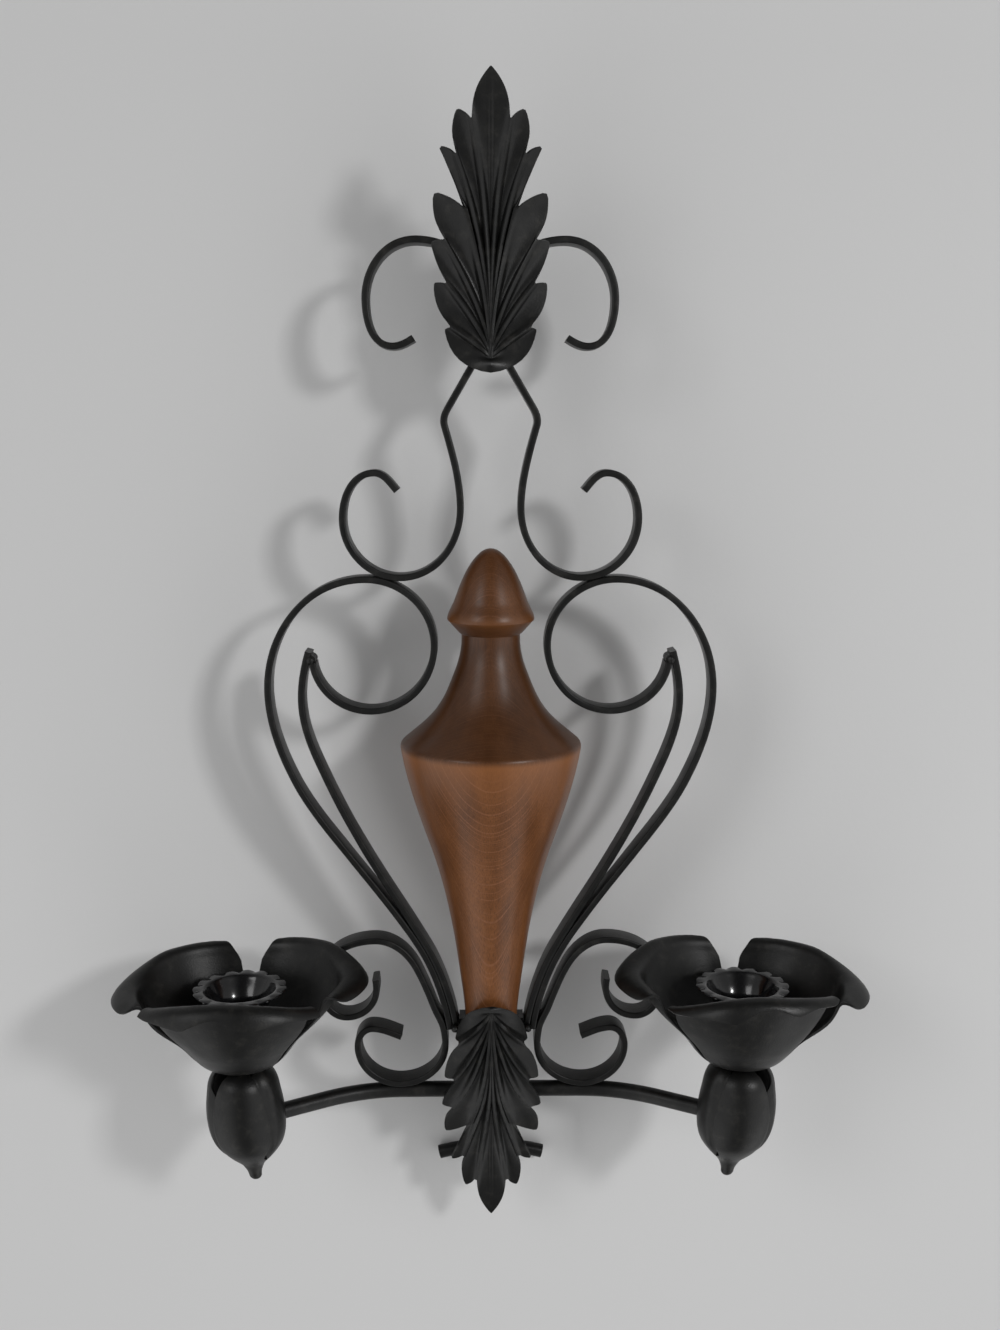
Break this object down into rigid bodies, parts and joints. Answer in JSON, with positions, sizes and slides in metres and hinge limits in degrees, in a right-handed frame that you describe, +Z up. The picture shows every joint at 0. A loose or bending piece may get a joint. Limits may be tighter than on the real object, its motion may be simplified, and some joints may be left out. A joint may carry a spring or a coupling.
{
  "type": "double candle wall sconce",
  "caption": "Scrolled wrought-iron wall sconce with a turned wood baluster, acanthus leaves and flower bowls that hold taper candles in lift-out cups.",
  "frame": {"origin": "centre of the hanging hole, on the wall face of the hanger strap", "axes": "+Z up, -Y out of the wall towards the viewer, +X to the viewer's right"},
  "size_m": [0.3646, 0.1273, 0.5583],
  "materials": {
    "iron": "satin black paint on wrought and pressed steel",
    "gloss_black": "gloss black enamel",
    "wood": "walnut-brown stain under semi-gloss lacquer",
    "screw_steel": "zinc-plated steel"
  },
  "bodies": {
    "frame": {"left_upper_scroll": "iron", "right_upper_scroll": "iron", "left_outer_scroll": "iron", "right_outer_scroll": "iron", "left_inner_bar": "iron", "right_inner_bar": "iron", "left_lower_scroll": "iron", "right_lower_scroll": "iron", "hanger_strap": "iron", "spine_strap": "iron", "wall_rest": "iron", "candle_arm": "iron", "weld_beads": "iron", "top_leaf": "iron", "bottom_leaf": "iron", "baluster": "wood", "baluster_seat": "iron", "baluster_screw": "screw_steel", "left_stem": "iron", "right_stem": "iron", "left_calyx": "iron", "right_calyx": "iron", "left_finial_nut": "iron", "right_finial_nut": "iron", "left_bowl_washer": "screw_steel", "right_bowl_washer": "screw_steel", "left_flower_bowl": "iron", "right_flower_bowl": "iron", "left_bowl_screw": "screw_steel", "right_bowl_screw": "screw_steel"},
    "left_cup": {"left_candle_cup": "gloss_black"},
    "right_cup": {"right_candle_cup": "gloss_black"}
  },
  "joints": [
    {"name": "left_cup_lift", "type": "slide", "parent": "frame", "child": "left_cup", "axis": [0, 0, 1], "range_m": [0, 0.05]},
    {"name": "right_cup_lift", "type": "slide", "parent": "frame", "child": "right_cup", "axis": [0, 0, 1], "range_m": [0, 0.05]}
  ]
}
